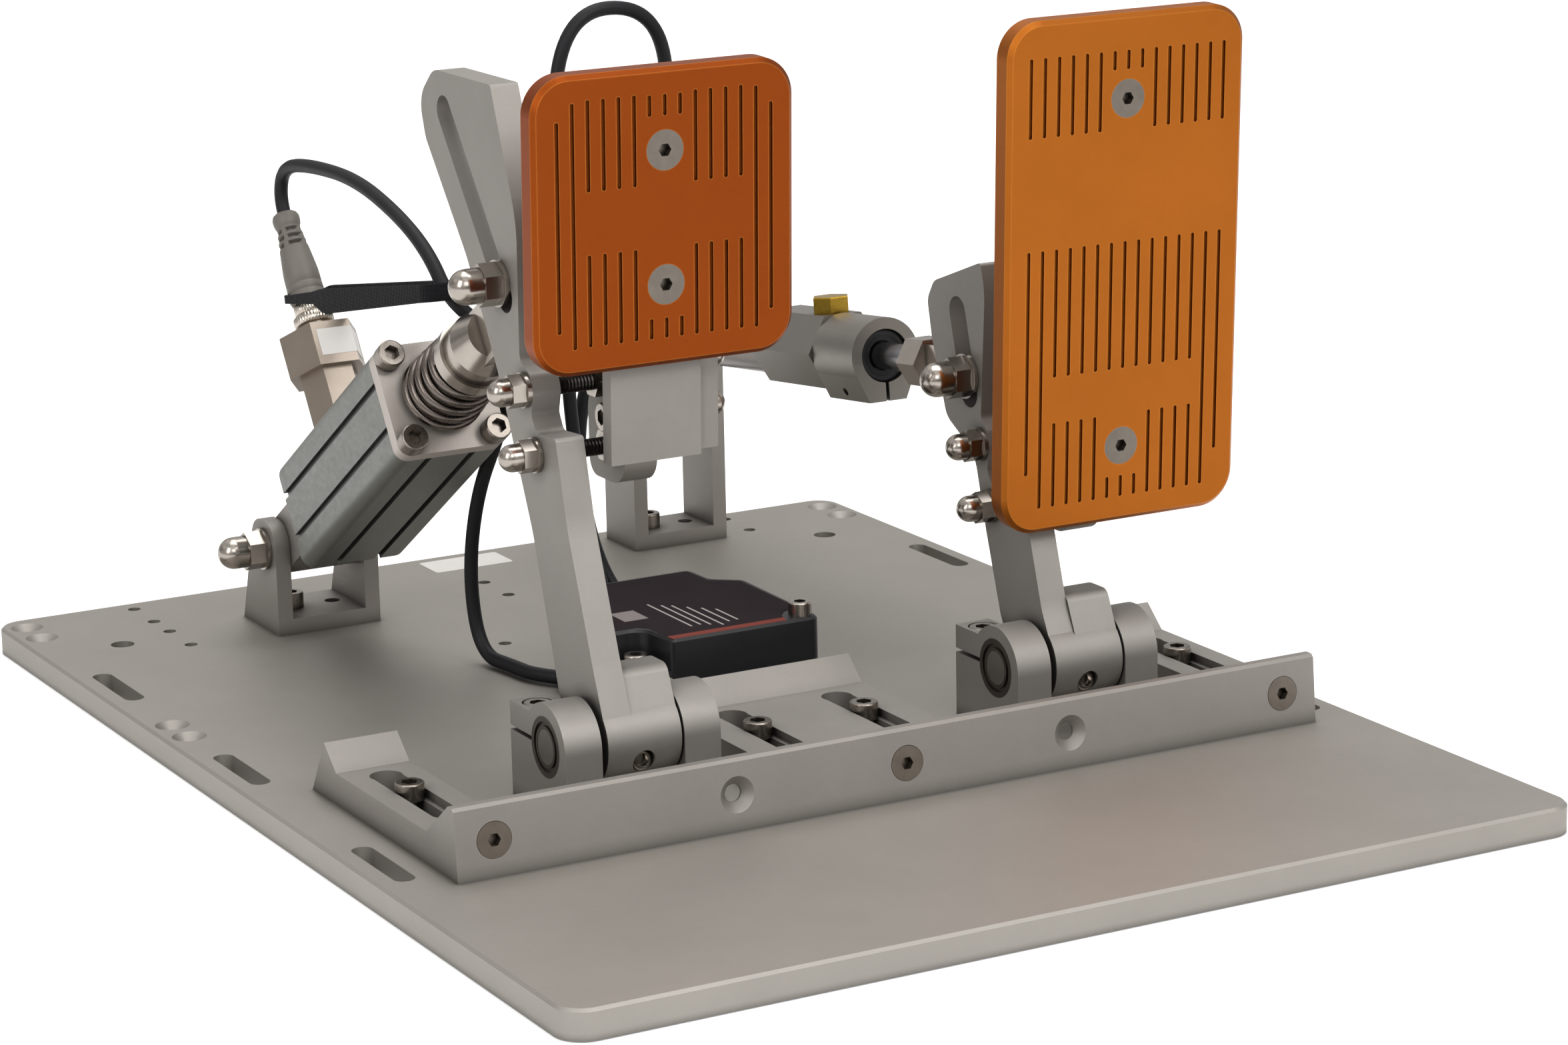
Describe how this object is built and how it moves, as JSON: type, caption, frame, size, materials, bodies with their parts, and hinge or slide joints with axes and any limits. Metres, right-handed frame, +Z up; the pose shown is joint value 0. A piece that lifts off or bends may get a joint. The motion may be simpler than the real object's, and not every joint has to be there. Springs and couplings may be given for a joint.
{
  "type": "sim racing pedal set",
  "caption": "Metal racing pedals on a flat plate: a sprung brake pushing a hydraulic cylinder with a pressure sensor, and a throttle with a damper rod.",
  "frame": {"origin": "centre of the base plate's underside", "axes": "+Z up, -Y towards the driver, +X to the driver's right"},
  "size_m": [0.37, 0.504, 0.2596],
  "materials": {
    "plate_aluminium": "satin",
    "natural_aluminium": "satin",
    "cylinder_aluminium": "satin",
    "orange_anodised": "satin",
    "stainless": "gloss",
    "dark_steel": "satin",
    "brass": "gloss",
    "black_plastic": "matte",
    "lid_plastic": "matte",
    "grey_plastic": "matte",
    "cable_sheath": "matte",
    "strap_fabric": "matte"
  },
  "bodies": {
    "base": {"base_plate": "plate_aluminium", "heel_rail": "natural_aluminium", "carrier_left": "natural_aluminium", "carrier_middle": "natural_aluminium", "carrier_right": "natural_aluminium", "brake_hinge_block_left": "natural_aluminium", "brake_hinge_block_right": "natural_aluminium", "throttle_hinge_block_left": "natural_aluminium", "throttle_hinge_block_right": "natural_aluminium", "brake_rear_bracket": "natural_aluminium", "throttle_rear_bracket": "natural_aluminium", "rail_screws": "stainless", "cap_screws_m6": "stainless", "rear_pivot_bolts": "stainless", "rear_pivot_washers": "stainless", "rear_pivot_nuts": "stainless", "hinge_bearings": "stainless", "control_box_screws": "dark_steel", "control_box_base": "black_plastic", "control_box_lid": "lid_plastic", "loop_cable": "cable_sheath"},
    "brake_pedal": {"brake_pedal_arm": "natural_aluminium", "brake_hinge_shaft": "dark_steel", "brake_pivot_bolt": "stainless", "brake_studs": "dark_steel", "brake_nuts": "stainless", "brake_washers": "stainless", "brake_tilt_bracket": "natural_aluminium", "brake_tilt_bolts": "stainless", "brake_pad_block": "natural_aluminium", "brake_pad": "orange_anodised", "brake_pad_screws": "stainless"},
    "brake_cylinder": {"brake_cylinder_body": "cylinder_aluminium", "brake_cylinder_front_plate": "natural_aluminium", "front_plate_screws": "stainless", "brake_cylinder_clevis": "natural_aluminium", "pressure_sensor": "stainless", "sensor_plug_nut": "stainless", "sensor_plug": "grey_plastic", "cable_strap": "strap_fabric", "sensor_cable": "cable_sheath"},
    "brake_rod": {"brake_push_rod": "stainless", "brake_spring": "dark_steel"},
    "throttle_pedal": {"throttle_pedal_arm": "natural_aluminium", "throttle_hinge_shaft": "dark_steel", "throttle_pivot_bolt": "stainless", "throttle_studs": "dark_steel", "throttle_nuts": "stainless", "throttle_washers": "stainless", "throttle_tilt_bracket": "natural_aluminium", "throttle_tilt_bolts": "stainless", "throttle_pad_block": "natural_aluminium", "throttle_pad": "orange_anodised", "throttle_pad_screws": "stainless"},
    "damper": {"damper_clamp_collar": "cylinder_aluminium", "damper_gland": "cylinder_aluminium", "damper_bleed_screw": "brass", "damper_tube": "cylinder_aluminium"},
    "throttle_rod": {"throttle_rod_end": "stainless", "throttle_rod": "stainless"}
  },
  "joints": [
    {"name": "brake_pedal_hinge", "type": "hinge", "parent": "base", "child": "brake_pedal", "pos_m": [-0.0786, -0.0806, 0.0335], "axis": [-1, 0, 0], "range_deg": [0, 5], "stiffness_Nm_per_rad": 130},
    {"name": "brake_cylinder_pivot", "type": "hinge", "parent": "base", "child": "brake_cylinder", "pos_m": [-0.0772, 0.185, 0.0423], "axis": [-1, 0, 0], "range_deg": [0, 0.6]},
    {"name": "brake_rod_slide", "type": "slide", "parent": "brake_cylinder", "child": "brake_rod", "axis": [0, 0.8384, -0.5451], "range_m": [0, 0.0135], "deforming": ["brake_spring"]},
    {"name": "throttle_pedal_hinge", "type": "hinge", "parent": "base", "child": "throttle_pedal", "pos_m": [0.0951, -0.0806, 0.0335], "axis": [-1, 0, 0], "range_deg": [0, 13], "stiffness_Nm_per_rad": 6},
    {"name": "damper_pivot", "type": "hinge", "parent": "base", "child": "damper", "pos_m": [0.096, 0.228, 0.099], "axis": [-1, 0, 0], "range_deg": [-2.3, 0]},
    {"name": "throttle_rod_slide", "type": "slide", "parent": "damper", "child": "throttle_rod", "axis": [0, 0.9942, -0.1077], "range_m": [0, 0.0216]}
  ],
  "couplings": [
    {"joint": "brake_cylinder_pivot", "follows": "brake_pedal_hinge", "ratio": 0.10873},
    {"joint": "brake_rod_slide", "follows": "brake_pedal_hinge", "m_per_rad": 0.15306},
    {"joint": "damper_pivot", "follows": "throttle_pedal_hinge", "ratio": -0.16945},
    {"joint": "throttle_rod_slide", "follows": "throttle_pedal_hinge", "m_per_rad": 0.093864}
  ]
}
